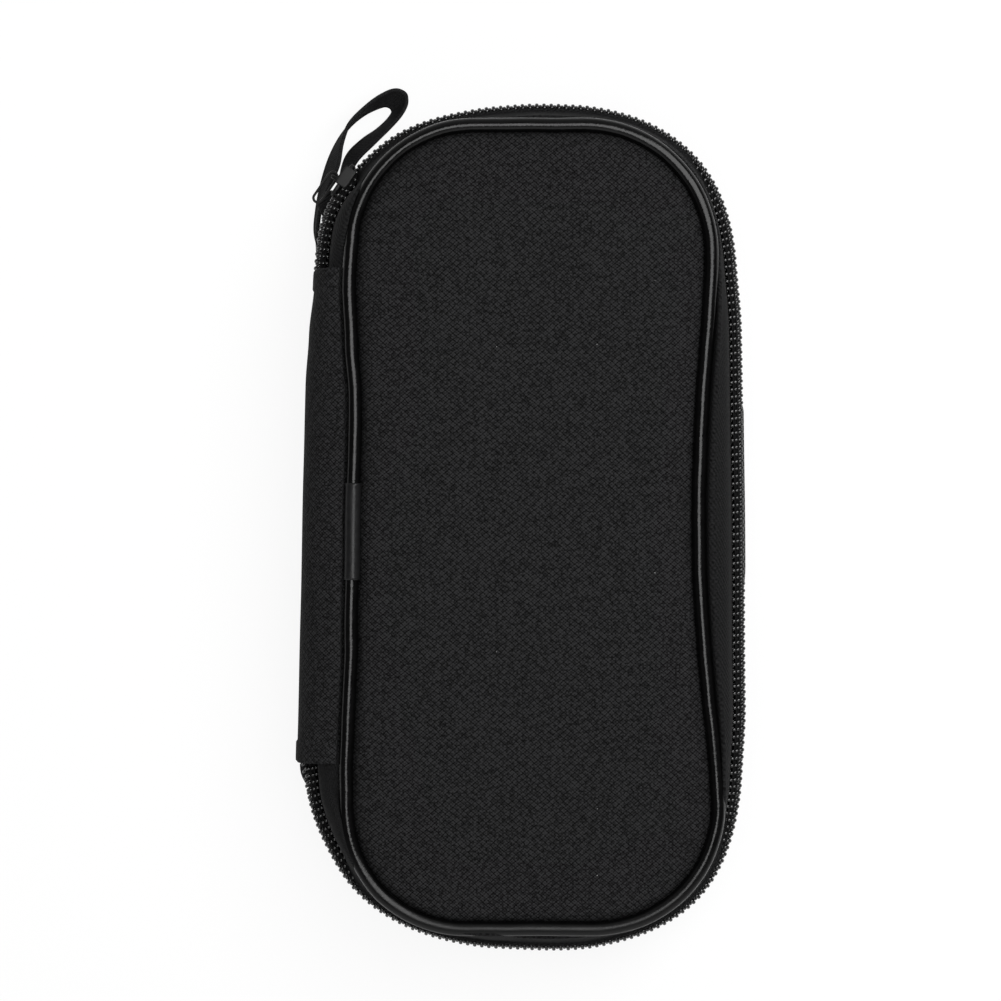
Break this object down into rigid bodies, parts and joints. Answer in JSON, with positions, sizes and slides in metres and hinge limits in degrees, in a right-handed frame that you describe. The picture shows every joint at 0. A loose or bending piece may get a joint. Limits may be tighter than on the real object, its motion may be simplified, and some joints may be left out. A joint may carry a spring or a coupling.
{
  "type": "glucose meter case",
  "caption": "Soft rectangular zip case with rounded corners, piped padded panels, a cloth spine hinge, a ribbon hang loop and elastic loops inside.",
  "frame": {"origin": "the middle of the back panel's flat face, which the closed case lies on", "axes": "+Z out of the front panel, +Y along the case toward the hang loop, +X away from the spine"},
  "size_m": [0.0926, 0.1798, 0.034],
  "materials": {
    "oxford": "black basket weave polyester cloth, matt",
    "padding": "dark closed cell foam",
    "board": "dark stiffening sheet",
    "tricot": "black brushed knit lining",
    "vinyl": "black glossy vinyl bead",
    "binding": "black woven bias tape",
    "zip_tape": "black twill zip tape",
    "nylon": "black nylon filament, slightly glossy",
    "net": "black open mesh",
    "elastic": "black ribbed elastic",
    "ribbon": "black woven ribbon with bound edges",
    "metal": "dark plated zinc, satin"
  },
  "bodies": {
    "base": {"rear_panel": "oxford", "rear_foam": "padding", "rear_board": "board", "rear_lining": "tricot", "rear_piping": "vinyl", "rear_piping_sleeve": "vinyl", "rear_seam_binding": "binding", "rear_zip_tape": "zip_tape", "rear_zip_coil": "nylon", "rear_spine_leaf": "oxford", "hang_loop": "ribbon", "meter_strap": "elastic", "lancer_loop": "elastic", "vial_loop": "elastic"},
    "lid": {"front_panel": "oxford", "front_foam": "padding", "front_board": "board", "front_lining": "tricot", "front_piping": "vinyl", "front_piping_sleeve": "vinyl", "front_seam_binding": "binding", "front_zip_tape": "zip_tape", "front_zip_coil": "nylon", "front_spine_leaf": "oxford", "mesh_pocket": "net", "pocket_binding": "elastic"},
    "slider": {"zip_slider": "metal"},
    "pull": {"pull_ring": "metal"}
  },
  "joints": [
    {"name": "lid_hinge", "type": "hinge", "parent": "base", "child": "lid", "pos_m": [-0.04602, 0.00177, 0.017], "axis": [-0.019, -0.9998, 0], "range_deg": [0, 180], "deforming": ["front_zip_coil"]},
    {"name": "slider_travel", "type": "hinge", "parent": "base", "child": "slider", "pos_m": [-0.00585, 0.0496, 0.017], "axis": [0, 0, 1], "range_deg": [-45, 20], "deforming": ["front_zip_coil", "rear_zip_coil"]},
    {"name": "pull_swing", "type": "hinge", "parent": "slider", "child": "pull", "pos_m": [-0.03983, 0.07285, 0.0177], "axis": [0, 0, -1], "range_deg": [0, 175]}
  ]
}
